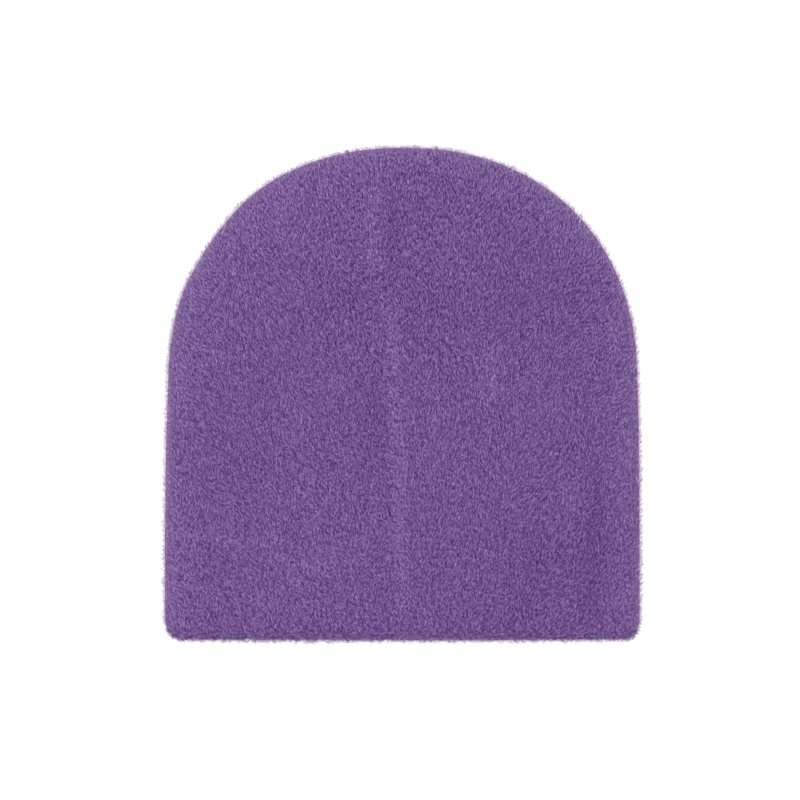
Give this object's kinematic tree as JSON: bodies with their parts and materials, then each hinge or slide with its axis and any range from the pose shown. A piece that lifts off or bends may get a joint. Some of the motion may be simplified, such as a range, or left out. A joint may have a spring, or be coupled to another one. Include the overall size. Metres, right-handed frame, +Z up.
{
  "type": "knit cap",
  "caption": "Plain purple brushed-knit cap lying flat, with a domed crown, a soft middle seam and a turned-in hem.",
  "frame": {"origin": "on the surface that the cap lies on, under the middle of its outline", "axes": "+X across the cap to the right as seen from above, +Y from the rim to the crown, +Z up from the surface"},
  "size_m": [0.227, 0.235, 0.0252],
  "materials": {
    "plush_knit": "brushed, with a short soft nap"
  },
  "bodies": {
    "root": {"knit_shell": "plush_knit", "turned_hem": "plush_knit"}
  },
  "joints": []
}
